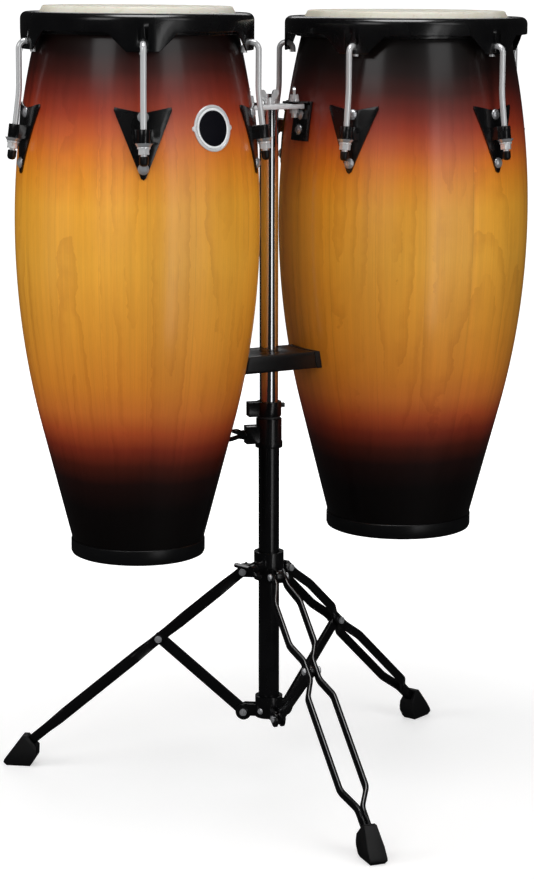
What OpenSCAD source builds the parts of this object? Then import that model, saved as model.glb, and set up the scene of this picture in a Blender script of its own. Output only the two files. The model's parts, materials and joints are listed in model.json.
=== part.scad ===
// Pair of conga drums on a folding double stand.
// Millimetres, +Z up. X runs along the line from the small drum to the large one.
// The origin is the centre of the footprint, on the floor.

/* [Drums] */
// Nominal head diameter of the small drum
small_head_d = 254; // [240:1:260]
// Nominal head diameter of the large drum
large_head_d = 279; // [270:1:285]
// Height of a drum, from its bottom to the top of its rim
drum_h = 710; // [705:1:715]
// How far the belly stands out beyond the top edge of a shell
belly_bulge = 36; // [34:1:37]
// Thickness of a shell's wall
shell_t = 11; // [9:1:13]
// Height of the head above the top of the rim
head_proud = 8; // [6:1:10]

/* [Tuning hardware] */
// Number of tension rods on a drum
rods = 5; // [5]
// Radius of a tension rod
rod_r = 3.9; // [3.5:0.1:4]
// How far a rim can be pulled down
tune_travel = 4; // [3:1:5]

/* [Stand] */
// Radius of the upper, chromed tube
mast_r = 12.7; // [12.7]
// Radius of the lower tube
base_r = 14.3; // [14.3]
// Height of the underside of the crossbar
bar_z = 927; // [925:1:930]
// Height of the top of the lower tube
base_top_z = 510; // [505:1:514]
// Height of the cradle's underside
cradle_z = 579; // [570:1:585]

/* [Tripod] */
// Turn of the first leg from the X axis
leg_turn = 21.5; // [15:0.5:25]
// Distance of the leg and brace pivots from the stand's axis
pivot_r = 35; // [34:1:37]
// Height of the leg pivots
leg_pivot_z = 295; // [293:1:299]
// Height of the brace pivots
brace_pivot_z = 93; // [91:1:95]
// Distance from the stand's axis to where a brace meets its leg
meet_r = 154; // [152:1:157]

/* [Hidden] */
$fn = 72;

// Where the stand's axis stands on the floor, from the centre of the footprint
stand_at = [-17.3, 62.9, 0];

// One value for each drum: the small one, then the large one
SMALL = 0;
LARGE = 1;
edge_r = [small_head_d / 2 - 3.5, large_head_d / 2 - 3.5];
belly_r = [edge_r[0] + belly_bulge, edge_r[1] + belly_bulge];
drum_x = [-201.5, 211];
drum_z = [347, 337];
lean = [0.55, 0.4];
rod_turn = [29.5, 68];
bracket_turn = [0, 180];

// Shell profile: an arc from the top edge down to cone_z, then a cone that is tangent to it
belly_z = drum_h - 274;
cone_z = drum_h - 538;
shell_top = drum_h + head_proud - 2;
arc_r = (pow(drum_h - belly_z, 2) + pow(belly_bulge, 2)) / (2 * belly_bulge);
cone_slope = (belly_z - cone_z) / sqrt(pow(arc_r, 2) - pow(belly_z - cone_z, 2));
function arc_at(k, z) = belly_r[k] - arc_r + sqrt(pow(arc_r, 2) - pow(z - belly_z, 2));
function shell_r(k, z) = z >= cone_z ? arc_at(k, z) : arc_at(k, cone_z) - cone_slope * (cone_z - z);
function slope_at(z) = asin((z - belly_z) / arc_r);

// Rim section
rim_out = [for (r = edge_r) r * 1.216];
rim_in = [for (r = edge_r) r + 7.5];
rim_t = 3;
rim_corner = 9;
band_h = 23;
ear_h = 47;
ear_half = 45;
ear_tip_half = 16;
hook_gap_r = 9.5;
hook_drop = 46;

// Tension rod: its straight upper length stands at rod_out, and its lower length leans out by rod_lean
rod_out = [for (r = rim_out) r + 9.5];
rod_bend_z = drum_h - 99;
rod_lean = 7.5;
lug_z = drum_h - 149;
boss_h = 17;
boss_w = 24.5;
bore_r = rod_r + tune_travel * sin(rod_lean) + 0.12;
washer_h = 4;
nut_h = 9.5;
nut_r = 7.6;
cap_h = 12;
// Room below the nut for the rods to rise when the head is slackened
cap_gap = 2.4;
cap_r = 5.7;
rod_tail = boss_h / 2 + washer_h + nut_h + 11;
plate_t = 2.5;
plate_top_z = drum_h - 114;
plate_bottom_z = drum_h - 203;
plate_half = 36;
lug_bolt_z = [drum_h - 126, drum_h - 189.5];
bolt_r = 3;
bolt_head_r = 7.2;

function lug_x(k) = rod_out[k] + (rod_bend_z - lug_z) * tan(rod_lean);

// Stand bracket on a shell
bracket_t = 4;
bracket_half = 20;
bracket_low_z = 884;
bracket_bolt_z = [917, 897];
bar_t = 6.5;
bar_half_w = 12;
tab_t = 3;
tab_gap = 0.1;
bar_end = [-39, 48];
wing_bolt_x = [-30, 39];
bar_slot_r = 4.6;

// Clearances
slide_gap = 0.08;
pin_gap = 0.08;
pad_gap = 0.3;
pad_t = 8;
cradle_h = 23;
cradle_half_w = 36;

// Tripod: each leg and its brace are equal links from equal pivots, so the leg collar rises straight
fold_half = (leg_pivot_z - brace_pivot_z) / 2;
link = norm([meet_r - pivot_r, fold_half]);
leg_drop = atan2(fold_half, meet_r - pivot_r);
leg_len = 408;
strip_t = 5.5;
strip_h = 13;
spread = 15.5;
ear_t = 9;
brace_t = 6;
brace_h = 15;
pin_r = 3.4;
collar_r = 20.5;
tube_low_z = brace_pivot_z - 3;
rivet_z = brace_pivot_z + 5;
tube_bottom_z = 215;
collar_h = 39;
foot_w = 24;

// Places its children on drum k, whose own frame starts at the centre of its bottom
module on_drum(k) {
    translate([drum_x[k], 0, drum_z[k]]) rotate([0, lean[k], 0]) children();
}

// Repeats its children at each tension rod of drum k, with +X pointing out
module at_rods(k) {
    for (i = [0 : rods - 1]) rotate([0, 0, rod_turn[k] + i * 360 / rods]) children();
}

// Places its children at the lug of a rod, with +Z up along the leaning length of the rod
module at_lug(k) {
    translate([lug_x(k), 0, lug_z]) rotate([0, -rod_lean, 0]) children();
}

// Places its children on the outside of drum k's shell at height z, with +X square to the wall
module on_wall(k, z) {
    translate([shell_r(k, z), 0, z]) rotate([0, -slope_at(z), 0]) children();
}

// A band that follows the outside of shell k from height lo to hi, from gap to gap + t proud of it
module wall_band(k, lo, hi, gap, t) {
    steps = 10;
    heights = [for (i = [0 : steps]) lo + (hi - lo) * i / steps];
    rotate_extrude()
        polygon(concat(
            [for (z = heights) [shell_r(k, z) + gap, z]],
            [for (i = [steps : -1 : 0]) [shell_r(k, heights[i]) + gap + t, heights[i]]]
        ));
}

module shell_bolt_holes(k) {
    at_rods(k)
        for (z = lug_bolt_z) on_wall(k, z)
            rotate([0, 90, 0]) cylinder(r = bolt_r + pin_gap, h = 60, center = true);
}

module bracket_bolts_at(k) {
    for (z = bracket_bolt_z)
        rotate([0, 0, bracket_turn[k]]) on_wall(k, z - drum_z[k]) children();
}

// The wooden shell: staves glued into one barrel, open at the bottom
module shell(k) {
    steps = 26;
    heights = [for (i = [0 : steps]) cone_z + (shell_top - cone_z) * i / steps];
    round_r = 3;
    color("goldenrod") on_drum(k) difference() {
        rotate_extrude()
            polygon(concat(
                [[shell_r(k, 3), 3]],
                [for (i = [0 : steps - 1]) [shell_r(k, heights[i]), heights[i]]],
                [[shell_r(k, shell_top - round_r), shell_top - round_r],
                 [shell_r(k, shell_top) - round_r, shell_top],
                 [shell_r(k, shell_top) - shell_t, shell_top - 2]],
                [for (i = [steps - 1 : -1 : 0]) [shell_r(k, heights[i]) - shell_t, heights[i]]],
                [[shell_r(k, 3) - shell_t, 3]]
            ));
        shell_bolt_holes(k);
        bracket_bolts_at(k)
            rotate([0, 90, 0]) cylinder(r = bolt_r + pin_gap, h = 60, center = true);
    }
}

// Moulded band that grips the bottom edge of a shell
module bottom_ring(k) {
    top = 21;
    lip = 1.6;
    inner = shell_r(k, 3) - shell_t - 3;
    outer = shell_r(k, top) + lip;
    color("black") on_drum(k) rotate_extrude()
        polygon([
            [inner, 0], [outer - 5, 0], [outer - 1.5, 1.6], [outer, 5],
            [outer, top - 1], [outer - 1, top], [shell_r(k, top) + 0.05, top],
            [shell_r(k, 3) + 0.05, 2.95], [shell_r(k, 3) - shell_t - 0.05, 2.95],
            [shell_r(k, 12) - shell_t - 0.05, 12], [shell_r(k, 12) - shell_t - 3, 12]
        ]);
}

// Rawhide head: it is stretched over the top edge and turns down outside the shell
module head(k) {
    skin = 1.9;
    hem_z = drum_h - 18;
    crown = shell_top + skin;
    edge_z = shell_top - 3;
    color("ivory") on_drum(k) rotate_extrude()
        polygon([
            [0, shell_top + 0.05], [shell_r(k, shell_top) - 3, shell_top + 0.05],
            [shell_r(k, edge_z) + 0.15, edge_z], [shell_r(k, hem_z) + 0.15, hem_z],
            [shell_r(k, hem_z) + 0.15 + skin, hem_z],
            [shell_r(k, shell_top - 4) + skin + 0.4, shell_top - 4],
            [shell_r(k, shell_top) + skin - 0.8, shell_top - 0.6],
            [shell_r(k, shell_top) - 2, crown], [0, crown]
        ]);
}

// Steel hoop that the skin is wrapped on, pushed down by the rim
module flesh_hoop(k) {
    color("silver") on_drum(k) rotate_extrude()
        translate([rim_in[k] + 1.1, drum_h - 27]) square([5, 7.9]);
}

// Steel rim with a rounded top, a skirt, and an ear for each hook
module rim(k) {
    out = rim_out[k];
    in = rim_in[k];
    corner = [for (a = [0 : 15 : 90]) [out - rim_corner + rim_corner * cos(a),
                                       drum_h - rim_corner + rim_corner * sin(a)]];
    inner_corner_r = rim_corner - rim_t;
    inner_corner = [for (a = [90 : -15 : 0]) [out - rim_corner + inner_corner_r * cos(a),
                                              drum_h - rim_corner + inner_corner_r * sin(a)]];
    gap_low_half = out * sin(180 / rods - asin(ear_tip_half / out));
    gap_high_half = out * sin(180 / rods - asin(ear_half / out));
    color("dimgray") on_drum(k) difference() {
        rotate_extrude()
            polygon(concat(
                [[out, drum_h - ear_h]], corner,
                [[in + 2, drum_h], [in, drum_h - 2], [in, drum_h - 19], [in + rim_t, drum_h - 19],
                 [in + rim_t, drum_h - rim_t]],
                inner_corner, [[out - rim_t, drum_h - ear_h]]
            ));
        for (i = [0 : rods - 1]) rotate([0, 0, rod_turn[k] + (i + 0.5) * 360 / rods])
            rotate([90, 0, 90]) linear_extrude(height = out + 10)
                polygon([
                    [-gap_low_half, drum_h - ear_h - 4], [gap_low_half, drum_h - ear_h - 4],
                    [gap_high_half, drum_h - band_h], [-gap_high_half, drum_h - band_h]
                ]);
        at_rods(k) translate([out - 20, 0, drum_h - hook_drop + hook_gap_r - 0.3])
            rotate([0, 90, 0]) cylinder(r = rod_r + 1.2, h = 40);
    }
}

// One hooked tension rod: a half-round hook, a straight length and a leaning length.
// The hook is a hair thinner, so that its ends stop inside the lengths beside it.
module hook_rod(k) {
    overlap = 0.3;
    hook_z = drum_h - hook_drop;
    tail = (rod_bend_z - lug_z) / cos(rod_lean) + rod_tail;
    translate([rod_out[k] - 2 * hook_gap_r, 0, hook_z - 4]) cylinder(r = rod_r, h = 4.5);
    translate([rod_out[k] - hook_gap_r, 0, hook_z]) rotate([90, 0, 0])
        rotate_extrude(angle = 180) translate([hook_gap_r, 0]) circle(r = rod_r - 0.1);
    translate([rod_out[k], 0, rod_bend_z - overlap])
        cylinder(r = rod_r, h = hook_z - rod_bend_z + overlap + 0.5);
    translate([rod_out[k], 0, rod_bend_z]) rotate([0, -rod_lean, 0]) translate([0, 0, -tail])
        cylinder(r = rod_r, h = tail + overlap);
}

module hook_rods(k) {
    color("silver") on_drum(k) at_rods(k) hook_rod(k);
}

// Plastic caps over the ends of the rods
module rod_caps(k) {
    top = -boss_h / 2 - washer_h - nut_h - cap_gap;
    bore = rod_r + 0.02;
    color("black") on_drum(k) at_rods(k) at_lug(k) rotate_extrude()
        polygon([
            [bore, top], [cap_r, top], [cap_r, top - cap_h + 4], [cap_r - 1.2, top - cap_h + 1.2],
            [cap_r - 3.6, top - cap_h], [0, top - cap_h], [0, -rod_tail - 0.1], [bore, -rod_tail - 0.1]
        ]);
}

// Pointed lug plates, each with the bossed loop that its rod passes through
module lug_plates(k) {
    boss_reach = lug_x(k) - shell_r(k, lug_z) - 1.3;
    color("black") on_drum(k) difference() {
        union() {
            intersection() {
                wall_band(k, plate_bottom_z - 4, plate_top_z + 4, 0.1, plate_t);
                at_rods(k) translate([belly_r[k] - 60, 0, 0]) rotate([90, 0, 90])
                    linear_extrude(height = 80)
                        polygon([
                            [-3, plate_bottom_z + 2], [0, plate_bottom_z], [3, plate_bottom_z + 2],
                            [plate_half, plate_top_z - 4], [plate_half - 1, plate_top_z], [0, plate_top_z - 7],
                            [1 - plate_half, plate_top_z], [-plate_half, plate_top_z - 4]
                        ]);
            }
            at_rods(k) at_lug(k) {
                translate([-boss_reach, -boss_w / 2, -boss_h / 2]) cube([boss_reach - 2, boss_w, boss_h]);
                translate([-6, -boss_w / 2 + 3, -boss_h / 2]) cube([8, boss_w - 6, boss_h]);
                translate([0, 0, -boss_h / 2]) cylinder(r = 8, h = boss_h);
            }
        }
        at_rods(k) at_lug(k) cylinder(r = bore_r, h = 60, center = true);
        at_rods(k) for (z = lug_bolt_z) on_wall(k, z)
            rotate([0, 90, 0]) cylinder(r = bolt_r + pin_gap, h = 30, center = true);
    }
}

// Bolt through a wall of thickness grip + plate, with a domed head outside and a nut inside
module wall_bolt(plate, grip) {
    head_h = 3.6;
    rotate([0, 90, 0]) {
        translate([0, 0, plate]) cylinder(r1 = bolt_head_r, r2 = bolt_head_r - 0.8, h = 1.4);
        translate([0, 0, plate + 1.4]) cylinder(r1 = bolt_head_r - 0.8, r2 = 3.4, h = head_h - 1.4);
        translate([0, 0, -grip - 7]) cylinder(r = bolt_r, h = grip + 7 + plate);
    }
}

module wall_nut(grip) {
    rotate([0, 90, 0]) translate([0, 0, -grip - 5.2]) difference() {
        union() {
            cylinder(r = 6, h = 4, $fn = 6);
            translate([0, 0, 4]) cylinder(r = 7.5, h = 1.1);
        }
        translate([0, 0, -1]) cylinder(r = bolt_r + pin_gap / 2, h = 9);
    }
}

// Everything that bolts hardware to a shell: lug and bracket bolts, their nuts, and the tension washers
module fasteners(k) {
    grip = shell_t + 1.4;
    color("silver") on_drum(k) {
        at_rods(k) {
            for (z = lug_bolt_z) on_wall(k, z) {
                wall_bolt(plate_t + 0.35, grip);
                wall_nut(grip);
            }
            at_lug(k) translate([0, 0, -boss_h / 2 - washer_h - 0.05]) difference() {
                cylinder(r1 = 8.4, r2 = 11, h = washer_h);
                translate([0, 0, -1]) cylinder(r = bore_r, h = washer_h + 2);
            }
        }
        bracket_bolts_at(k) {
            wall_bolt(bracket_t + 0.35, grip);
            wall_nut(grip);
        }
    }
}

// Hexagonal tuning nut with a round flange
module tuning_nut(k, i) {
    color("silver") on_drum(k) rotate([0, 0, rod_turn[k] + (i - 1) * 360 / rods]) at_lug(k)
        translate([0, 0, -boss_h / 2 - washer_h - nut_h - 0.15]) difference() {
            union() {
                cylinder(r = nut_r, h = nut_h - 2, $fn = 6);
                translate([0, 0, nut_h - 2.5]) cylinder(r = nut_r + 0.6, h = 2.5);
            }
            translate([0, 0, -1]) cylinder(r = bore_r, h = nut_h + 2);
        }
}

// Angle bracket: a plate that follows the shell, and a tab that lies on the crossbar
module bracket(k) {
    side = k == SMALL ? 1 : -1;
    tab_z = bar_z + bar_t + tab_gap;
    rise = bar_z - drum_z[k];
    wall_x = drum_x[k] + rise * tan(lean[k]) + side * (shell_r(k, rise) - 4);
    tab_tip = wing_bolt_x[k] + side * 10;
    color("black") difference() {
        union() {
            intersection() {
                on_drum(k) wall_band(k, bracket_low_z - drum_z[k] - 20, 600, 0.1, bracket_t);
                translate([side > 0 ? -60 : 30, -bracket_half, bracket_low_z])
                    cube([40, 2 * bracket_half, tab_z + tab_t - bracket_low_z]);
            }
            difference() {
                translate([min(wall_x, tab_tip), -14, tab_z]) cube([abs(wall_x - tab_tip), 28, tab_t]);
                on_drum(k) wall_band(k, 560, 610, -20, 20.1);
            }
        }
        translate([wing_bolt_x[k], 0, tab_z - 5]) cylinder(r = 4.2, h = 20);
        on_drum(k) bracket_bolts_at(k)
            rotate([0, 90, 0]) cylinder(r = bolt_r + pin_gap, h = 30, center = true);
    }
}

// Round badge with two small side lugs, curved to the shell
module badge() {
    badge_z = drum_h - 141;
    badge_turn = rod_turn[SMALL] - 1.5 * 360 / rods;
    color("silver") on_drum(SMALL) intersection() {
        wall_band(SMALL, badge_z - 32, badge_z + 32, 0.1, 1.8);
        rotate([0, 0, badge_turn]) translate([belly_r[SMALL] - 40, 0, badge_z]) rotate([0, 90, 0]) union() {
            cylinder(r = 29, h = 60);
            for (s = [-1, 1]) translate([0, s * 29.5, 0]) cylinder(r = 3.2, h = 60);
        }
    }
}

// Two flat lobes of a wing bolt or nut, standing on either side of its hub, in the XZ plane
module wings(reach, rise) {
    rotate([90, 0, 0]) translate([0, 0, -1.7]) linear_extrude(height = 3.4) {
        for (s = [-1, 1]) {
            polygon([[s * 2, 0.3], [s * 5, 0.3], [s * (reach + 3), rise - 4], [s * (reach - 3), rise + 3], [s * 2, 8]]);
            translate([s * reach, rise]) circle(r = 4.6);
        }
    }
}

// A wing nut or bolt head, standing on its face at z = 0
module wing_head(reach, rise) {
    cylinder(r1 = 7.2, r2 = 5.4, h = 9);
    wings(reach, rise);
}

// The upper tube, with the welded plug and stud that hold the crossbar
module upper_tube() {
    color("silver") union() {
        difference() {
            translate([0, 0, tube_bottom_z]) cylinder(r = mast_r, h = bar_z - tube_bottom_z);
            translate([0, 0, tube_bottom_z - 1]) cylinder(r = mast_r - 1.6, h = bar_z - tube_bottom_z - 5);
        }
        translate([0, 0, bar_z - 2]) cylinder(r = 4, h = bar_t + 16);
    }
}

// Flat bar across the top of the stand, with an open slot at each end
module crossbar() {
    color("silver") difference() {
        translate([bar_end[0], -bar_half_w, bar_z]) cube([bar_end[1] - bar_end[0], 2 * bar_half_w, bar_t]);
        translate([0, 0, bar_z - 1]) cylinder(r = 4.1, h = bar_t + 2);
        for (k = [SMALL, LARGE]) {
            translate([wing_bolt_x[k], 0, bar_z - 1]) cylinder(r = bar_slot_r, h = bar_t + 2);
            translate([k == SMALL ? bar_end[0] - 5 : wing_bolt_x[k], -bar_slot_r, bar_z - 1])
                cube([abs(bar_end[k] - wing_bolt_x[k]) + 5, 2 * bar_slot_r, bar_t + 2]);
        }
    }
}

module crossbar_wing_nut() {
    color("silver") translate([0, 0, bar_z + bar_t + 0.1]) difference() {
        wing_head(10, 15);
        translate([0, 0, -1]) cylinder(r = 4.06, h = 17);
    }
}

// Wing bolt that holds a drum's tab in a slot of the crossbar, with its nut under the bar
module drum_wing_bolt(k) {
    tab_top = bar_z + bar_t + tab_gap + tab_t;
    color("silver") translate([wing_bolt_x[k], 0, 0]) {
        translate([0, 0, tab_top + 0.1]) rotate([0, 0, 60]) wing_head(9, 14);
        translate([0, 0, bar_z - 12]) cylinder(r = 4, h = tab_top - bar_z + 13);
        translate([0, 0, bar_z - 6.2]) rotate([0, 0, 30]) cylinder(r = 6.1, h = 6, $fn = 6);
    }
}

module cradle_block() {
    translate([-90, -cradle_half_w, cradle_z]) cube([180, 2 * cradle_half_w, cradle_h]);
}

// Cone that holds shell k near the cradle's height, out to gap from the shell
module shell_cone(k, gap) {
    lo = cradle_z - drum_z[k] - 5;
    hi = lo + cradle_h + 10;
    on_drum(k) translate([0, 0, lo])
        cylinder(r1 = shell_r(k, lo) + gap, r2 = shell_r(k, hi) + gap, h = hi - lo);
}

// Block on the mast that holds the drums' pads
module cradle() {
    color("black") difference() {
        cradle_block();
        shell_cone(SMALL, pad_gap + pad_t);
        shell_cone(LARGE, pad_gap + pad_t);
        translate([0, 0, cradle_z - 1]) cylinder(r = mast_r + slide_gap / 2, h = cradle_h + 2);
    }
}

// Rubber pads between the cradle and the shells
module cradle_pads() {
    color("dimgray") {
        for (k = [SMALL, LARGE]) difference() {
            intersection() {
                cradle_block();
                shell_cone(k, pad_gap + pad_t - 0.05);
            }
            shell_cone(k, pad_gap);
            translate([k == SMALL ? -190 : 90, -50, cradle_z - 5]) cube([100, 100, cradle_h + 10]);
        }
    }
}

// Collar that is clamped to the upper tube and rests on the height clamp
module memory_lock() {
    color("black") translate([0, 0, base_top_z + 3]) rotate([0, 0, 165]) difference() {
        union() {
            cylinder(r = 17, h = 20);
            translate([12, -8, 0]) cube([18, 16, 20]);
            translate([-22, -3, 11]) cube([8, 6, 6]);
        }
        translate([0, 0, -1]) cylinder(r = mast_r + slide_gap / 2, h = 22);
        translate([10, -1.5, -1]) cube([22, 3, 22]);
    }
}

// The lower tube
module base_tube() {
    color("black") translate([0, 0, tube_low_z]) difference() {
        cylinder(r = base_r, h = base_top_z - tube_low_z);
        translate([0, 0, -1]) cylinder(r = base_r - 1.3, h = base_top_z - tube_low_z + 2);
    }
}

// Nylon bush in the top of the lower tube, with a flange that the memory lock stands on
module tube_bush() {
    color("white") difference() {
        union() {
            translate([0, 0, base_top_z - 60]) cylinder(r = base_r - 1.35, h = 60.05);
            translate([0, 0, base_top_z + 0.05]) cylinder(r = 15.5, h = 2.9);
        }
        translate([0, 0, base_top_z - 61]) cylinder(r = mast_r + slide_gap, h = 65);
    }
}

// Split casting that squeezes the top of the lower tube
module height_clamp() {
    color("black") difference() {
        union() {
            translate([0, 0, base_top_z - 40]) cylinder(r = 17.5, h = 39.5);
            translate([0, 0, base_top_z - 40]) cylinder(r = 18.6, h = 8);
            rotate([0, 0, 165]) translate([14, -9, base_top_z - 34]) cube([19, 18, 24]);
        }
        translate([0, 0, base_top_z - 41]) cylinder(r = base_r + slide_gap / 2, h = 42);
        rotate([0, 0, 165]) translate([14, 0, base_top_z - 22]) rotate([0, 90, 0])
            cylinder(r = 4.1, h = 30);
    }
}

// Wing bolt of radius 4 that lies along +X and ends against the tube
module radial_wing_bolt(start, face, reach, rise, turn) {
    translate([start, 0, 0]) rotate([0, 90, 0]) cylinder(r = 4, h = face - start + 4);
    translate([face + 0.2, 0, 0]) rotate([turn, 0, 0]) rotate([0, 90, 0]) wing_head(reach, rise);
}

module height_wing_bolt() {
    color("black") translate([0, 0, base_top_z - 22]) rotate([0, 0, 165])
        radial_wing_bolt(base_r + 0.3, 33, 17, 18, 120);
}

// A collar with an ear for each leg or brace, drilled for its pivot pin
module eared_collar(low, high, ear_z, ear_half_h) {
    for (i = [0 : 2]) rotate([0, 0, leg_turn + 120 * i]) {
        translate([14, -ear_t / 2, ear_z - ear_half_h]) cube([pivot_r - 14, ear_t, 2 * ear_half_h]);
        translate([pivot_r, ear_t / 2, ear_z]) rotate([90, 0, 0]) cylinder(r = ear_half_h, h = ear_t);
    }
    translate([0, 0, low]) cylinder(r = collar_r, h = high - low);
}

module pivot_holes(z, r) {
    for (i = [0 : 2]) rotate([0, 0, leg_turn + 120 * i])
        translate([pivot_r, 40, z]) rotate([90, 0, 0]) cylinder(r = r, h = 80);
}

// Sliding collar that the legs hang from
module leg_collar() {
    color("black") difference() {
        union() {
            eared_collar(leg_pivot_z - 10, leg_pivot_z - 10 + collar_h, leg_pivot_z, 9);
            rotate([0, 0, leg_turn + 180]) translate([0, 0, leg_pivot_z + 9]) rotate([0, 90, 0])
                cylinder(r = 9.5, h = 31);
        }
        translate([0, 0, leg_pivot_z - 11]) cylinder(r = base_r + 0.15, h = collar_h + 2);
        pivot_holes(leg_pivot_z, pin_r + pin_gap);
        rotate([0, 0, leg_turn + 180]) translate([10, 0, leg_pivot_z + 9]) rotate([0, 90, 0])
            cylinder(r = 4.1, h = 40);
    }
}

module leg_collar_wing_bolt() {
    color("black") rotate([0, 0, leg_turn + 180]) translate([0, 0, leg_pivot_z + 9])
        radial_wing_bolt(base_r + 0.3, 31, 19, 15, 75);
}

// Headed pin through an ear and the strips beside it, across the leg
module pivot_pin(half) {
    rotate([90, 0, 0]) {
        translate([0, 0, -half - 0.2]) cylinder(r = pin_r, h = 2 * half + 0.4);
        for (s = [-1, 1]) translate([0, 0, s * (half + 1.5)]) {
            cylinder(r = 4.9, h = 2.6, center = true);
            translate([0, 0, s * 1.2]) cylinder(r = 3.4, h = 1.6, center = true);
        }
    }
}

module leg_collar_pins() {
    color("silver") for (i = [0 : 2]) rotate([0, 0, leg_turn + 120 * i])
        translate([pivot_r, 0, leg_pivot_z]) pivot_pin(ear_t / 2 + 0.6 + strip_t + 0.2);
}

// Fixed collar at the foot of the lower tube: each brace runs between two plates of it
module lower_collar() {
    cheek = 3.2;
    color("black") difference() {
        union() {
            translate([0, 0, brace_pivot_z - 5]) cylinder(r = collar_r - 1.5, h = 30);
            for (i = [0 : 2]) rotate([0, 0, leg_turn + 120 * i]) for (s = [-1, 1])
                translate([0, s * (brace_t / 2 + 0.5 + cheek / 2), brace_pivot_z]) rotate([90, 0, 0]) {
                    translate([12, -5, -cheek / 2]) cube([pivot_r - 12, 17, cheek]);
                    translate([pivot_r, 0, -cheek / 2]) cylinder(r = 11, h = cheek);
                }
        }
        translate([0, 0, tube_low_z - 0.1]) cylinder(r = base_r + 0.05, h = 60);
        translate([0, 0, tube_low_z - 20]) cylinder(r = base_r - 3, h = 30);
        pivot_holes(brace_pivot_z, pin_r + pin_gap);
        rotate([0, 0, leg_turn + 180]) translate([0, 0, rivet_z]) rotate([0, 90, 0])
            cylinder(r = 2.6, h = 40);
    }
}

// Pivot pins of the lower collar, its rivet, and the clamp's pinch bolt
module base_fasteners() {
    color("silver") {
        for (i = [0 : 2]) rotate([0, 0, leg_turn + 120 * i])
            translate([pivot_r, 0, brace_pivot_z]) pivot_pin(brace_t / 2 + 0.5 + 3.2 + 0.2);
        rotate([0, 0, leg_turn + 180]) translate([0, 0, rivet_z]) rotate([0, 90, 0]) {
            translate([0, 0, base_r + 0.1]) cylinder(r = 2.5, h = collar_r - base_r);
            translate([0, 0, collar_r - 1.2]) cylinder(r1 = 4.4, r2 = 3, h = 2);
        }
    }
}

// Half-distance between the strips of a leg: [distance along it, distance from its centre line]
strip_path = [
    [-8, ear_t / 2 + 0.6], [16, ear_t / 2 + 0.6], [44, spread], [link - 42, spread],
    [link - 16, brace_t / 2 + 0.6], [link + 16, brace_t / 2 + 0.6], [link + 42, spread],
    [leg_len - 66, spread], [leg_len - 38, 0.4], [leg_len, 0.4]
];

// Places its children on leg i, whose own frame has +X down along the leg from its pivot
module on_leg(i) {
    rotate([0, 0, leg_turn + 120 * (i - 1)]) translate([pivot_r, 0, leg_pivot_z])
        rotate([0, leg_drop, 0]) children();
}

// A leg: two pressed strips that spread and meet
module leg(i) {
    outer = [for (j = [len(strip_path) - 1 : -1 : 0]) [strip_path[j][0], strip_path[j][1] + strip_t]];
    color("black") on_leg(i) for (s = [-1, 1]) difference() {
        translate([0, 0, -strip_h / 2]) linear_extrude(height = strip_h)
            polygon([for (p = concat(strip_path, outer)) [p[0], s * p[1]]]);
        for (x = [0, link]) translate([x, 40, 0]) rotate([90, 0, 0]) cylinder(r = pin_r + pin_gap, h = 80);
    }
}

// Rubber foot with a pocket for the ends of the strips
module foot(i) {
    heel = 337;
    toe = 379;
    color("black") difference() {
        intersection() {
            rotate([0, 0, leg_turn + 120 * (i - 1)]) rotate([90, 0, 0]) translate([0, 0, -foot_w / 2])
                linear_extrude(height = foot_w)
                    polygon([
                        [heel + 4, 0], [toe - 4, 0], [toe, 5], [toe - 1, 9],
                        [heel + 15, 44], [heel + 8, 44], [heel - 6, 28], [heel - 5, 14]
                    ]);
            rotate([0, 0, leg_turn + 120 * (i - 1)]) translate([heel + 22, 0, 0])
                rotate([90, 0, 90]) linear_extrude(height = 90, center = true)
                    polygon([
                        [-foot_w / 2 + 2, 0], [foot_w / 2 - 2, 0], [foot_w / 2, 4], [foot_w / 2, 20],
                        [8.5, 45], [-8.5, 45], [-foot_w / 2, 20], [-foot_w / 2, 4]
                    ]);
        }
        on_leg(i) translate([leg_len - 60, -strip_t - 0.5, -strip_h / 2 - 0.1])
            cube([60.1, 2 * strip_t + 1, strip_h + 0.2]);
    }
}

// Places its children on brace i, whose own frame has +X up along the brace from its pivot
module on_brace(i) {
    rotate([0, 0, leg_turn + 120 * (i - 1)]) translate([pivot_r, 0, brace_pivot_z])
        rotate([0, -leg_drop, 0]) children();
}

// A brace: one flat bar with round ends
module brace(i) {
    color("black") on_brace(i) translate([0, brace_t / 2, 0]) rotate([90, 0, 0]) difference() {
        union() {
            translate([0, -brace_h / 2, 0]) cube([link, brace_h, brace_t]);
            cylinder(r = brace_h / 2, h = brace_t);
            translate([link, 0, 0]) cylinder(r = brace_h / 2, h = brace_t);
        }
        for (x = [0, link]) translate([x, 0, -1]) cylinder(r = pin_r + pin_gap, h = brace_t + 2);
    }
}

module brace_pin(i) {
    color("silver") on_leg(i) translate([link, 0, 0]) pivot_pin(brace_t / 2 + 0.6 + strip_t + 0.2);
}

translate(stand_at) shell(SMALL);  // small_shell
translate(stand_at) bottom_ring(SMALL);  // small_bottom_ring
translate(stand_at) head(SMALL);  // small_head
translate(stand_at) flesh_hoop(SMALL);  // small_flesh_hoop
translate(stand_at) rim(SMALL);  // small_rim
translate(stand_at) hook_rods(SMALL);  // small_hook_rods
translate(stand_at) rod_caps(SMALL);  // small_rod_caps
translate(stand_at) lug_plates(SMALL);  // small_lug_plates
translate(stand_at) fasteners(SMALL);  // small_fasteners
translate(stand_at) bracket(SMALL);  // small_bracket
translate(stand_at) badge();
translate(stand_at) shell(LARGE);  // large_shell
translate(stand_at) bottom_ring(LARGE);  // large_bottom_ring
translate(stand_at) head(LARGE);  // large_head
translate(stand_at) flesh_hoop(LARGE);  // large_flesh_hoop
translate(stand_at) rim(LARGE);  // large_rim
translate(stand_at) hook_rods(LARGE);  // large_hook_rods
translate(stand_at) rod_caps(LARGE);  // large_rod_caps
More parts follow.
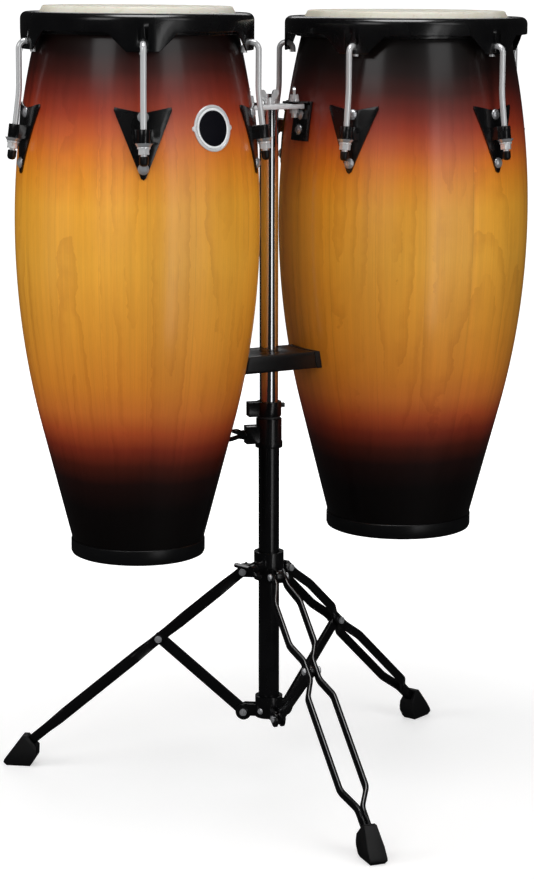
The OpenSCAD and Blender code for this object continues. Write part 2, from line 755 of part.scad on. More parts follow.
translate(stand_at) lug_plates(LARGE);  // large_lug_plates
translate(stand_at) fasteners(LARGE);  // large_fasteners
translate(stand_at) bracket(LARGE);  // large_bracket
for (i = [1 : rods]) {
    translate(stand_at) tuning_nut(SMALL, i);
    translate(stand_at) tuning_nut(LARGE, i);
}
translate(stand_at) upper_tube();
translate(stand_at) memory_lock();
translate(stand_at) crossbar();
translate(stand_at) crossbar_wing_nut();
translate(stand_at) drum_wing_bolt(SMALL);  // small_wing_bolt
translate(stand_at) drum_wing_bolt(LARGE);  // large_wing_bolt
translate(stand_at) cradle();
translate(stand_at) cradle_pads();
translate(stand_at) base_tube();
translate(stand_at) tube_bush();
translate(stand_at) height_clamp();
translate(stand_at) height_wing_bolt();
translate(stand_at) lower_collar();
translate(stand_at) base_fasteners();
translate(stand_at) leg_collar();
translate(stand_at) leg_collar_pins();
translate(stand_at) leg_collar_wing_bolt();
for (i = [1 : 3]) {
    translate(stand_at) leg(i);
    translate(stand_at) foot(i);
    translate(stand_at) brace(i);
    translate(stand_at) brace_pin(i);
}
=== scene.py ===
import json
import math

import bpy
import numpy as np
from mathutils import Matrix, Vector


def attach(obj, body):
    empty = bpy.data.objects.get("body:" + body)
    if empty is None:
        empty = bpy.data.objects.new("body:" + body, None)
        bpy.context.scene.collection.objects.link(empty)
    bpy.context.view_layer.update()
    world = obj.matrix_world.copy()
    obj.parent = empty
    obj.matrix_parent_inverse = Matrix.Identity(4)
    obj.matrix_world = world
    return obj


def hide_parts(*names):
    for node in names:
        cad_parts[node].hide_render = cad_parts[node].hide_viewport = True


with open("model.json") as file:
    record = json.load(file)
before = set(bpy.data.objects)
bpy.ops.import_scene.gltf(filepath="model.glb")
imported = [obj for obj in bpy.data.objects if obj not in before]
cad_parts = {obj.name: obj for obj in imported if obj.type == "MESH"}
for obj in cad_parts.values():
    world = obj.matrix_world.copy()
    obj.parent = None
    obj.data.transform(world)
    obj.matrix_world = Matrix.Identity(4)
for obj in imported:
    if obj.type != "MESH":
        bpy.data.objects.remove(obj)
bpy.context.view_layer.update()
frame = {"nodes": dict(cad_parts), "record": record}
nodes = frame["nodes"]

# ---------------------------------------------------------------- sizes, in metres
MM = 0.001
STAND = Vector((-17.3, 62.9, 0)) * MM
DRUM_H = 0.710
BULGE = 0.036
SHELL_T = 0.011
HEAD_PROUD = 0.0083
BELLY_Z = DRUM_H - 0.274
CONE_Z = DRUM_H - 0.538
ARC_R = ((DRUM_H - BELLY_Z) ** 2 + BULGE ** 2) / (2 * BULGE)
CONE_SLOPE = (BELLY_Z - CONE_Z) / math.sqrt(ARC_R ** 2 - (BELLY_Z - CONE_Z) ** 2)
LUG_Z = DRUM_H - 0.149
ROD_BEND_Z = DRUM_H - 0.099
ROD_LEAN = math.radians(7.5)
ROD_R = 0.0039
RODS = 5
STAVES = 16

DRUMS = {
    "small": dict(edge=0.1235, at=(-0.2015, 0, 0.347), lean=0.55, turn=29.5, seed=3.0, stain_drop=0.004),
    "large": dict(edge=0.1360, at=(0.211, 0, 0.337), lean=0.40, turn=68.0, seed=11.0, stain_drop=0.034),
}
LEG_TURN = 21.5
PIVOT_R = 0.035
LEG_PIVOT_Z = 0.295
BRACE_PIVOT_Z = 0.093
MEET_R = 0.154
LEG_LEN = 0.408


def arc_radius(drum, z):
    return drum["edge"] + BULGE - ARC_R + math.sqrt(ARC_R ** 2 - (z - BELLY_Z) ** 2)


def shell_radius(drum, z):
    if z >= CONE_Z:
        return arc_radius(drum, z)
    return arc_radius(drum, CONE_Z) - CONE_SLOPE * (CONE_Z - z)


def drum_matrix(drum):
    return Matrix.Translation(STAND + Vector(drum["at"])) @ Matrix.Rotation(math.radians(drum["lean"]), 4, "Y")


def body_with(node):
    for body, held in frame["record"]["behaviour"]["bodies"].items():
        if node in held:
            return body
    raise ValueError(node)


# ---------------------------------------------------------------- material building
class Net:
    """A few calls that keep node trees short to write."""

    def __init__(self, name):
        self.mat = bpy.data.materials.new(name)
        self.mat.use_nodes = True
        self.tree = self.mat.node_tree
        self.bsdf = self.tree.nodes["Principled BSDF"]

    def add(self, kind, **sets):
        n = self.tree.nodes.new(kind)
        for key, value in sets.items():
            setattr(n, key, value)
        return n

    def put(self, socket, value):
        if hasattr(value, "is_output"):
            self.tree.links.new(value, socket)
        elif isinstance(value, (tuple, list)) and len(value) == 3 and socket.type == "RGBA":
            socket.default_value = (*value, 1)
        else:
            socket.default_value = value

    def math(self, op, a, b=0.0, c=0.0, clamp=False):
        n = self.add("ShaderNodeMath", operation=op, use_clamp=clamp)
        for i, v in enumerate((a, b, c)):
            self.put(n.inputs[i], v)
        return n.outputs[0]

    def remap(self, x, lo, hi, to_lo, to_hi, smooth=True):
        n = self.add("ShaderNodeMapRange", interpolation_type="SMOOTHSTEP" if smooth else "LINEAR")
        for i, v in enumerate((x, lo, hi, to_lo, to_hi)):
            self.put(n.inputs[i], v)
        return n.outputs[0]

    def coords(self, kind="Object"):
        return self.add("ShaderNodeTexCoord").outputs[kind]

    def split(self, vec):
        n = self.add("ShaderNodeSeparateXYZ")
        self.put(n.inputs[0], vec)
        return n.outputs

    def join(self, x, y, z):
        n = self.add("ShaderNodeCombineXYZ")
        for i, v in enumerate((x, y, z)):
            self.put(n.inputs[i], v)
        return n.outputs[0]

    def noise(self, vec, scale, detail=3.0, rough=0.5, distortion=0.0):
        n = self.add("ShaderNodeTexNoise")
        for key, v in (("Vector", vec), ("Scale", scale), ("Detail", detail), ("Roughness", rough),
                       ("Distortion", distortion)):
            self.put(n.inputs[key], v)
        return n.outputs["Fac"]

    def ramp(self, fac, stops, interpolation="LINEAR"):
        n = self.add("ShaderNodeValToRGB")
        n.color_ramp.interpolation = interpolation
        el = n.color_ramp.elements
        while len(el) < len(stops):
            el.new(0.5)
        for e, (at, colour) in zip(el, stops):
            e.position = at
            e.color = (*colour, 1) if len(colour) == 3 else colour
        self.put(n.inputs[0], fac)
        return n.outputs[0]

    def mix(self, fac, a, b, mode="MIX"):
        n = self.add("ShaderNodeMix", data_type="RGBA", blend_type=mode)
        self.put(n.inputs[0], fac)
        self.put(n.inputs[6], a)
        self.put(n.inputs[7], b)
        return n.outputs[2]

    def bump(self, height, strength, distance, normal=None):
        n = self.add("ShaderNodeBump")
        self.put(n.inputs["Height"], height)
        n.inputs["Strength"].default_value = strength
        n.inputs["Distance"].default_value = distance
        if normal is not None:
            self.put(n.inputs["Normal"], normal)
        return n.outputs[0]

    def surface(self, **sets):
        names = {"base": "Base Color", "rough": "Roughness", "metal": "Metallic", "coat": "Coat Weight",
                 "coat_rough": "Coat Roughness", "normal": "Normal", "coat_normal": "Coat Normal",
                 "ior": "IOR", "spec": "Specular IOR Level", "sheen": "Sheen Weight",
                 "sub": "Subsurface Weight", "sub_scale": "Subsurface Scale", "aniso": "Anisotropic"}
        for key, value in sets.items():
            self.put(self.bsdf.inputs[names[key]], value)
        return self.mat


def lin(r, g, b):
    """Screen colour, 0 to 255, as the linear colour that nodes take."""
    return tuple((v / 255 / 12.92) if v <= 10 else ((v / 255 + 0.055) / 1.055) ** 2.4 for v in (r, g, b))


def sunburst(name, seed, drop):
    """Stained and lacquered staves: black at both ends through red and orange to a golden belly.

    drop is how much farther down the top's dark colours reach, as a share of the drum's height."""
    n = Net(name)
    u, v, _ = n.split(n.coords("UV"))
    stave = n.math("MULTIPLY", u, STAVES)
    index = n.math("FLOOR", stave)
    across = n.math("MULTIPLY", n.math("SUBTRACT", n.math("FRACT", stave), 0.5), 0.062)

    def chance(k):
        w = n.add("ShaderNodeTexWhiteNoise", noise_dimensions="1D")
        n.put(w.inputs["W"], n.math("ADD", index, seed + 37.7 * k))
        return w.outputs["Value"]

    c1, c2, c3, c4 = (chance(k) for k in range(4))
    place = n.join(n.math("ADD", across, n.math("MULTIPLY", index, 0.37)), v, n.math("ADD", c1, seed))

    # growth rings cut by the board's face: straight lines that close into arches on some staves
    wander = n.noise(n.join(across, n.math("MULTIPLY", v, 0.55), n.math("MULTIPLY_ADD", index, 0.71, seed)), 14, 2.5)
    pith = n.math("MULTIPLY", n.math("SUBTRACT", c1, 0.5), 0.034)
    rise = n.math("MULTIPLY_ADD", c2, 0.10, 0.03)
    peak = n.math("MULTIPLY_ADD", c3, 0.75, -0.02)
    depth = n.math("MULTIPLY", n.math("SUBTRACT", v, peak), rise)
    depth = n.math("ADD", depth, n.math("MULTIPLY", n.math("SUBTRACT", wander, 0.5), 0.045))
    side = n.math("SUBTRACT", across, pith)
    radius = n.math("SQRT", n.math("ADD", n.math("MULTIPLY", side, side), n.math("MULTIPLY", depth, depth)))
    fine = n.noise(place, 60, 4)
    rings = n.math("ADD", n.math("DIVIDE", radius, 0.0150), n.math("MULTIPLY", fine, 0.7))
    ring = n.math("FRACT", rings)
    late = n.remap(ring, 0.35, 0.98, 0.0, 1.0)
    late = n.math("MULTIPLY", late, n.remap(ring, 0.96, 1.0, 1.0, 0.0))
    patchy = n.noise(n.join(n.math("MULTIPLY", across, 40), n.math("MULTIPLY", v, 4.5),
                            n.math("MULTIPLY_ADD", index, 1.7, seed)), 1.0, 2)
    late = n.math("MULTIPLY", late, n.remap(patchy, 0.42, 0.60, 0.18, 1.0))
    band = n.noise(n.join(n.math("MULTIPLY", across, 150), n.math("MULTIPLY", v, 2.2),
                          n.math("MULTIPLY_ADD", index, 2.3, seed)), 1.0, 3)

    streak_at = n.join(n.math("MULTIPLY", across, 900), n.math("MULTIPLY", v, 9),
                       n.math("MULTIPLY_ADD", index, 3.1, seed))
    streak = n.noise(streak_at, 1.0, 5, 0.62)
    pore_at = n.join(n.math("MULTIPLY", across, 3200), n.math("MULTIPLY", v, 60),
                     n.math("MULTIPLY_ADD", index, 5.3, seed))
    pore = n.remap(n.noise(pore_at, 1.0, 2), 0.60, 0.74, 0.0, 1.0)
    cloud = n.noise(n.join(n.math("MULTIPLY", u, 9.0), n.math("MULTIPLY", v, 5.0), seed), 1.0, 3)

    # height of the sprayed colour bands, a little uneven round the drum
    drift = n.math("MULTIPLY", n.math("SUBTRACT", n.noise(n.join(n.math("MULTIPLY", u, 6), seed, v), 1.0, 2), 0.5), 0.03)
    high = n.math("DIVIDE", n.math("ADD", v, drift), DRUM_H)
    high = n.math("ADD", high, n.remap(high, 0.50, 0.85, 0.0, drop))
    stain = n.ramp(high, [
        (0.00, lin(4, 3, 3)), (0.105, lin(8, 4, 4)), (0.156, lin(27, 9, 7)), (0.190, lin(66, 20, 9)),
        (0.222, lin(118, 38, 17)), (0.254, lin(167, 71, 28)), (0.290, lin(196, 106, 36)),
        (0.340, lin(209, 127, 35)), (0.430, lin(219, 145, 41)), (0.560, lin(227, 161, 49)),
        (0.665, lin(229, 159, 43)), (0.718, lin(223, 140, 30)), (0.760, lin(212, 114, 24)),
        (0.797, lin(187, 82, 28)), (0.832, lin(151, 50, 20)), (0.868, lin(107, 29, 15)),
        (0.903, lin(60, 17, 11)), (0.938, lin(25, 9, 8)), (0.972, lin(12, 6, 5)), (1.00, lin(6, 4, 4))])

    shade = n.math("MULTIPLY_ADD", late, -0.13, 1.02)
    shade = n.math("MULTIPLY", shade, n.math("MULTIPLY_ADD", band, 0.24, 0.88))
    shade = n.math("MULTIPLY", shade, n.math("MULTIPLY_ADD", streak, 0.24, 0.88))
    shade = n.math("MULTIPLY", shade, n.math("MULTIPLY_ADD", cloud, 0.30, 0.85))
    shade = n.math("MULTIPLY", shade, n.math("MULTIPLY_ADD", c4, 0.13, 0.935))
    shade = n.math("MULTIPLY", shade, n.math("MULTIPLY_ADD", pore, -0.10, 1.0))
    edge = n.math("ABSOLUTE", n.math("DIVIDE", across, 0.031))
    seam = n.remap(edge, 0.975, 1.0, 0.0, 1.0)
    shade = n.math("MULTIPLY", shade, n.math("MULTIPLY_ADD", seam, -0.12, 1.0))
    hue = n.mix(n.math("MULTIPLY", late, 0.55), (1.0, 1.0, 1.0), (1.0, 0.90, 0.74))
    grey = n.join(shade, shade, shade)
    colour = n.mix(1.0, n.mix(1.0, stain, hue, "MULTIPLY"), grey, "MULTIPLY")

    height = n.math("ADD", n.math("MULTIPLY", streak, 0.4), n.math("MULTIPLY", pore, -0.6))
    ripple = n.noise(n.join(n.math("MULTIPLY", u, 40), n.math("MULTIPLY", v, 6), seed), 1.0, 2)
    return n.surface(base=colour, rough=n.math("MULTIPLY_ADD", streak, 0.12, 0.42), coat=0.7, coat_rough=0.17,
                     normal=n.bump(height, 0.12, 0.0002),
                     coat_normal=n.bump(ripple, 0.05, 0.004))


def bare_wood(name):
    """The unstained inside of the shell."""
    n = Net(name)
    x, y, z = n.split(n.coords("UV"))
    at = n.join(n.math("MULTIPLY", x, 300), n.math("MULTIPLY", y, 9), 4.0)
    grain = n.noise(at, 1.0, 5, 0.6)
    stave = n.add("ShaderNodeTexWhiteNoise", noise_dimensions="1D")
    n.put(stave.inputs["W"], n.math("FLOOR", n.math("MULTIPLY", x, STAVES)))
    colour = n.ramp(grain, [(0.25, lin(158, 112, 66)), (0.5, lin(190, 146, 92)), (0.8, lin(207, 168, 115))])
    tone = n.math("MULTIPLY_ADD", stave.outputs["Value"], 0.2, 0.85)
    return n.surface(base=n.mix(1.0, colour, n.join(tone, tone, tone), "MULTIPLY"), rough=0.62,
                     normal=n.bump(grain, 0.3, 0.0004))


def rawhide(name):
    n = Net(name)
    at = n.coords()
    cloud = n.noise(at, 11, 5, 0.6, 0.6)
    vein = n.noise(at, 34, 6, 0.7, 1.4)
    speck = n.remap(n.noise(at, 260, 3), 0.60, 0.75, 0.0, 1.0)
    colour = n.ramp(cloud, [(0.25, lin(213, 205, 186)), (0.5, lin(228, 223, 207)), (0.72, lin(236, 233, 223))])
    colour = n.mix(n.remap(vein, 0.52, 0.75, 0.0, 0.4), colour, lin(196, 181, 150))
    colour = n.mix(n.math("MULTIPLY", speck, 0.35), colour, lin(176, 152, 112))
    return n.surface(base=colour, rough=n.math("MULTIPLY_ADD", vein, 0.25, 0.42), sub=0.12, sub_scale=0.004,
                     coat=0.08, coat_rough=0.4,
                     normal=n.bump(n.math("ADD", vein, n.math("MULTIPLY", speck, 0.3)), 0.25, 0.0006))


def coated(name, colour, rough=0.30, grain=900, depth=0.10, coat=0.35, worn=0.0):
    """Powder coat or lacquer on steel: fine orange peel, faint dust and slight change in gloss."""
    n = Net(name)
    at = n.coords()
    peel = n.noise(at, grain, 2)
    patch = n.noise(at, 24, 3)
    base = n.mix(n.remap(patch, 0.35, 0.8, 0.0, 0.5), colour, tuple(v * 1.7 + 0.0008 for v in colour))
    if worn:
        scuff = n.remap(n.noise(n.join(*n.split(at)[:3]), 190, 6, 0.7), 0.66, 0.72, 0.0, worn)
        base = n.mix(scuff, base, (0.10, 0.10, 0.10))
    return n.surface(base=base, rough=n.math("MULTIPLY_ADD", patch, 0.16, rough - 0.08), coat=coat, coat_rough=0.12,
                     normal=n.bump(peel, depth, 0.0003))


def plated(name, colour, rough, scratch=0.02, grain=60, metal=1.0):
    """Bright plating with faint rubbing marks and a little haze. A metal share below one leaves part of the pale
    colour diffuse, as a painted reflection.
    """
    n = Net(name)
    at = n.coords()
    haze = n.noise(at, 35, 3)
    x, y, z = n.split(at)
    rub = n.noise(n.join(n.math("MULTIPLY", x, grain * 3), n.math("MULTIPLY", y, grain * 3), n.math("MULTIPLY", z, grain)),
                  1.0, 2)
    base = n.mix(n.remap(haze, 0.3, 0.8, 0.0, 0.35), colour, tuple(v * 0.86 for v in colour))
    return n.surface(base=base, metal=metal, rough=n.math("MULTIPLY_ADD", haze, rough * 0.9, rough * 0.55),
                     normal=n.bump(rub, scratch, 0.0002))


def moulded(name, colour, rough, grain, depth, dust=0.25):
    """Moulded plastic or rubber: a fine matt grain with paler rubbed places."""
    n = Net(name)
    at = n.coords()
    fine = n.noise(at, grain, 3, 0.6)
    patch = n.noise(at, 40, 4, 0.6)
    base = n.mix(n.remap(patch, 0.45, 0.85, 0.0, dust), colour, tuple(v * 2.0 + 0.003 for v in colour))
    return n.surface(base=base, rough=n.math("MULTIPLY_ADD", fine, 0.18, rough - 0.09),
                     normal=n.bump(fine, depth, 0.0004))


WOOD = {k: sunburst(f"sunburst_wood_{k}", d["seed"], d["stain_drop"]) for k, d in DRUMS.items()}
BARE = bare_wood("bare_wood")
HIDE = rawhide("rawhide")
BLACK = coated("black_steel", (0.0026, 0.0026, 0.0029), rough=0.26, depth=0.05, coat=0.5)
STRUT = coated("black_steel_strut", (0.0024, 0.0024, 0.0027), rough=0.24, grain=700, depth=0.04, coat=0.6)
# Chrome, bright steel, zinc and badge metal take a metal share below one: the diffuse part of their pale colour is a
# painted reflection.
CHROME = plated("chrome", (0.90, 0.91, 0.92), 0.08, metal=0.5)
MIRROR = plated("mirror_chrome", (0.80, 0.81, 0.83), 0.07)
BRIGHT = plated("bright_steel", (0.86, 0.87, 0.88), 0.34, metal=0.35)
ZINC = plated("zinc", (0.60, 0.61, 0.63), 0.26, 0.05, 150, metal=0.7)
PLASTIC = moulded("black_plastic", (0.0035, 0.0035, 0.0038), 0.34, 1300, 0.06, 0.2)
RUBBER = moulded("black_rubber", (0.005, 0.005, 0.0053), 0.55, 900, 0.20, 0.3)
NYLON = moulded("nylon", (0.016, 0.016, 0.017), 0.45, 700, 0.15)
SILVER = plated("badge_metal", (0.84, 0.85, 0.86), 0.30, 0.05, 300, metal=0.4)
ENAMEL = coated("badge_black", (0.003, 0.003, 0.005), rough=0.22, depth=0.03, coat=0.6)
PALE = coated("badge_white", (0.72, 0.73, 0.74), rough=0.35, depth=0.03, coat=0.4)


# ---------------------------------------------------------------- mesh building
def mesh_object(name, verts, faces, materials, face_mats=None, smooth=True, uvs=None):
    mesh = bpy.data.meshes.new(name)
    mesh.from_pydata([tuple(v) for v in verts], [], faces)
    for m in materials:
        mesh.materials.append(m)
    if face_mats is not None:
        mesh.polygons.foreach_set("material_index", face_mats)
    mesh.polygons.foreach_set("use_smooth", [smooth] * len(mesh.polygons))
    if uvs is not None:
        layer = mesh.uv_layers.new(name="UVMap")
        layer.data.foreach_set("uv", [c for face in uvs for uv in face for c in uv])
    mesh.validate()
    mesh.update()
    obj = bpy.data.objects.new(name, mesh)
    bpy.context.scene.collection.objects.link(obj)
    return obj


def lathe(name, profile, segments, materials, row_mats=None, closed=False):
    """Turns a profile of (radius, height) about Z. A radius of 0 closes to a point. U goes round, V is the height."""
    verts, rings = [], []
    for r, z in profile:
        if r < 1e-7:
            rings.append([len(verts)] * segments)
            verts.append((0, 0, z))
        else:
            first = len(verts)
            rings.append(list(range(first, first + segments)))
            for s in range(segments):
                a = 2 * math.pi * s / segments
                verts.append((r * math.cos(a), r * math.sin(a), z))
    faces, mats, uvs = [], [], []
    rows = len(profile) if closed else len(profile) - 1
    for j in range(rows):
        lo, hi = rings[j], rings[(j + 1) % len(profile)]
        zl, zh = profile[j][1], profile[(j + 1) % len(profile)][1]
        for s in range(segments):
            t = (s + 1) % segments
            u0, u1 = s / segments, (s + 1) / segments
            quad = [(lo[s], (u0, zl)), (lo[t], (u1, zl)), (hi[t], (u1, zh)), (hi[s], (u0, zh))]
            face = []
            for corner in quad:
                if not face or corner[0] not in [c[0] for c in face]:
                    face.append(corner)
            if len(face) < 3:
                continue
            faces.append([c[0] for c in face])
            uvs.append([c[1] for c in face])
            mats.append(row_mats[j] if row_mats else 0)
    return mesh_object(name, verts, faces, materials, mats, True, uvs)


def rounded(points, radius, steps=6):
    """A polyline with its inner corners rounded. A corner is rounded less where its sides are short."""
    points = [Vector(p) for p in points]
    radii = radius if isinstance(radius, (list, tuple)) else [radius] * len(points)
    out = [points[0]]
    for i in range(1, len(points) - 1):
        a, b, c = points[i - 1:i + 2]
        ab, cb = (a - b), (c - b)
        half = ab.angle(cb) / 2
        if half > math.pi / 2 - 1e-3:
            out.append(b)
            continue
        cut = min(radii[i] / math.tan(half), ab.length * 0.48, cb.length * 0.48)
        r = cut * math.tan(half)
        centre = b + (ab.normalized() + cb.normalized()).normalized() * (r / math.sin(half))
        p, q = b + ab.normalized() * cut - centre, b + cb.normalized() * cut - centre
        turn = p.angle(q)
        for s in range(steps + 1):
            w = s / steps
            out.append(centre + (p * math.sin((1 - w) * turn) + q * math.sin(w * turn)) / math.sin(turn))
    out.append(points[-1])
    return out


def tubes(name, paths, radius, material, matrix=None, resolution=7):
    """One curve object with a round tube along each path."""
    curve = bpy.data.curves.new(name, "CURVE")
    curve.dimensions = "3D"
    curve.bevel_depth = radius
    curve.bevel_resolution = resolution
    curve.use_fill_caps = True
    for path in paths:
        spline = curve.splines.new("POLY")
        spline.points.add(len(path) - 1)
        spline.points.foreach_set("co", [c for p in path for c in (*p, 1)])
        spline.use_smooth = True
    curve.materials.append(material)
    obj = bpy.data.objects.new(name, curve)
    bpy.context.scene.collection.objects.link(obj)
    if matrix is not None:
        obj.matrix_world = matrix
    return obj


def sweep(name, paths, section, up, material, matrix):
    """Sweeps a closed flat section, given as (across, up) points, along each path. Ends are closed."""
    verts, faces = [], []
    k = len(section)
    for path in paths:
        base = len(verts)
        for i, p in enumerate(path):
            before, after = path[max(i - 1, 0)], path[min(i + 1, len(path) - 1)]
            side = (after - before).normalized().cross(up).normalized()
            mitre = 1.0
            if 0 < i < len(path) - 1:
                bend = (p - before).angle(after - p, 0.0)
                mitre = 1 / max(math.cos(bend / 2), 0.5)
            verts += [p + side * (a * mitre) + up * b for a, b in section]
        for i in range(len(path) - 1):
            for j in range(k):
                a, b = base + i * k + j, base + i * k + (j + 1) % k
                faces.append([a, b, b + k, a + k])
        faces.append([base + j for j in reversed(range(k))])
        last = base + (len(path) - 1) * k
        faces.append([last + j for j in range(k)])
    obj = mesh_object(name, verts, faces, [material])
    obj.matrix_world = matrix
    return obj


def rounded_box_section(width, height, radius, steps=4):
    pts = []
    for cx, cy, start in ((1, 1, 0), (-1, 1, 90), (-1, -1, 180), (1, -1, 270)):
        for s in range(steps + 1):
            a = math.radians(start + 90 * s / steps)
            pts.append((cx * (width / 2 - radius) + radius * math.cos(a),
                        cy * (height / 2 - radius) + radius * math.sin(a)))
    return pts


def recalc(obj):
    """Turns every face of a closed mesh outward."""
    import bmesh
    bm = bmesh.new()
    bm.from_mesh(obj.data)
    bmesh.ops.recalc_face_normals(bm, faces=bm.faces)
    bm.to_mesh(obj.data)
    bm.free()
    return obj


def stand_for(obj, node):
    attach(obj, body_with(node))
    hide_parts(node)
    return obj


# ---------------------------------------------------------------- drums
def make_shell(kind, drum):
    top = DRUM_H + HEAD_PROUD - 0.002
    rows = [0.003 + (top - 0.006) * i / 72 for i in range(73)]
    outer = [(shell_radius(drum, z), z) for z in rows]
    r_top = shell_radius(drum, top)
    lip = [(r_top - 0.003 + 0.003 * math.cos(a), top - 0.003 + 0.003 * math.sin(a))
           for a in (math.radians(d) for d in (15, 35, 55, 75, 90))]
    rim = [(r_top - 0.007, top - 0.0006), (r_top - SHELL_T, top - 0.002)]
    inner = [(shell_radius(drum, z) - SHELL_T, z) for z in reversed(rows[:-1])]
    profile = outer + lip + rim + inner
    row_mats = [0 if i < len(outer) + 3 else 1 for i in range(len(profile))]
    obj = lathe(f"{kind}_shell_staves", profile, 192, [WOOD[kind], BARE], row_mats, closed=True)
    obj.matrix_world = drum_matrix(drum)
    recalc(obj)
    return stand_for(obj, f"{kind}_shell")


def make_head(kind, drum):
    top = DRUM_H + HEAD_PROUD - 0.002
    skin = 0.0019
    crown = top + skin
    edge = shell_radius(drum, top)
    hem = DRUM_H - 0.018
    under = [(0, top + 0.00005), (edge * 0.5, top + 0.00005), (edge - 0.003, top + 0.00005),
             (edge - 0.0008, top - 0.0010), (edge + 0.00012, top - 0.003)]
    under += [(shell_radius(drum, z) + 0.0001, z) for z in (top - 0.009, hem)]
    outside = [(shell_radius(drum, hem) + skin, hem), (shell_radius(drum, hem + 0.004) + skin, hem + 0.004),
               (shell_radius(drum, top - 0.005) + skin, top - 0.005)]
    turn = 0.0042
    outside += [(edge + skin - 0.0004 - turn + turn * math.cos(a), crown - turn + turn * math.sin(a))
                for a in (math.radians(d) for d in range(10, 91, 10))]
    flat = [(edge * f, crown) for f in (0.94, 0.85, 0.7, 0.5, 0.3, 0.15)] + [(0, crown)]
    obj = lathe(f"{kind}_head_skin", under + outside + flat, 160, [HIDE])
    rng = np.random.default_rng(int(drum["seed"]))
    waves = [(rng.uniform(0.2, 1), rng.integers(2, 9), rng.uniform(0, 6.28)) for _ in range(6)]
    for v in obj.data.vertices:
        r = math.hypot(v.co.x, v.co.y)
        if v.co.z > crown - 0.004 and r > 0.01:
            a = math.atan2(v.co.y, v.co.x)
            w = sum(k * math.sin(m * a + p) for k, m, p in waves) / 6
            v.co.z -= 0.0005 * (0.5 + 0.5 * w) * min(1, r / edge)
    obj.matrix_world = drum_matrix(drum)
    recalc(obj)
    return stand_for(obj, f"{kind}_head")


def make_rods(kind, drum):
    out = drum["edge"] * 1.216 + 0.0095
    gap, hook_z = 0.0095, DRUM_H - 0.046
    tail = (ROD_BEND_Z - LUG_Z) / math.cos(ROD_LEAN) + 0.033
    arch = [(out - gap - gap * math.cos(math.pi * i / 18), hook_z + gap * math.sin(math.pi * i / 18))
            for i in range(19)]
    flat = [(out - 2 * gap, hook_z - 0.004)] + arch
    low = [(out, hook_z - 0.006), (out, ROD_BEND_Z),
           (out + tail * math.sin(ROD_LEAN), ROD_BEND_Z - tail * math.cos(ROD_LEAN))]
    bend = rounded([(x, 0, z) for x, z in low], 0.16, 8)
    path = [Vector((x, 0, z)) for x, z in flat] + bend
    paths = []
    for i in range(RODS):
        turn = Matrix.Rotation(math.radians(drum["turn"] + i * 360 / RODS), 3, "Z")
        paths.append([turn @ p for p in path])
    obj = tubes(f"{kind}_tension_rods", paths, ROD_R, CHROME, drum_matrix(drum))
    return stand_for(obj, f"{kind}_hook_rods")


def make_badge(drum):
    """Round badge that follows the shell: a raised silver edge, a pale ring and a plain black centre."""
    mid_z = DRUM_H - 0.141
    mid_a = math.radians(drum["turn"] - 1.5 * 360 / RODS)
    rings = [(0.0, 1.45, 0), (5, 1.45, 0), (12, 1.40, 0), (18, 1.30, 0), (22.2, 1.20, 0), (22.8, 1.15, 1),
             (23.0, 1.55, 1), (23.4, 1.70, 1), (24.9, 1.70, 1), (25.2, 1.55, 1), (25.3, 1.20, 0), (25.8, 1.20, 2),
             (25.9, 1.60, 2), (26.4, 1.85, 2), (27.8, 1.90, 2), (28.5, 1.70, 2), (29.0, 1.15, 2), (29.0, 0.10, 2)]
    mats = [ENAMEL, PALE, SILVER]
    seg = 96
    verts, faces, face_mats = [], [], []

    def on_shell(y, t, lift):
        z = mid_z + t
        r = shell_radius(drum, z)
        a = mid_a + math.asin(y / r)
        return ((r + lift) * math.cos(a), (r + lift) * math.sin(a), z)

    def nub(a):
        """Half-round lugs on the left and right of the edge."""
        off = min(abs(math.remainder(a, 2 * math.pi)), abs(math.remainder(a - math.pi, 2 * math.pi))) * 29
        return math.sqrt(max(0.0, 3.4 ** 2 - off ** 2))

    first = []
    for j, (r, lift, _) in enumerate(rings):
        if j == 0:
            first.append([0] * seg)
            verts.append(on_shell(0, 0, lift * MM))
            continue
        first.append(list(range(len(verts), len(verts) + seg)))
        for s in range(seg):
            a = 2 * math.pi * s / seg
            rr = r + (nub(a) * (0.9 if r > 28 else 0.45) if r > 27 else 0)
            verts.append(on_shell(rr * math.cos(a) * MM, rr * math.sin(a) * MM, lift * MM))
    for j in range(len(rings) - 1):
        for s in range(seg):
            t = (s + 1) % seg
            face = [first[j][s], first[j + 1][s], first[j + 1][t], first[j][t]]
            faces.append(face[1:] if j == 0 else face)
            face_mats.append(rings[j + 1][2])
    back = len(verts)
    verts.append(on_shell(0, 0, 0.10 * MM))
    for s in range(seg):
        faces.append([first[-1][s], back, first[-1][(s + 1) % seg]])
        face_mats.append(2)
    obj = mesh_object("badge_disc", verts, faces, mats, face_mats)
    obj.matrix_world = drum_matrix(drum)
    recalc(obj)
    return stand_for(obj, "badge")


for kind, drum in DRUMS.items():
    make_shell(kind, drum)
    make_head(kind, drum)
    make_rods(kind, drum)
make_badge(DRUMS["small"])


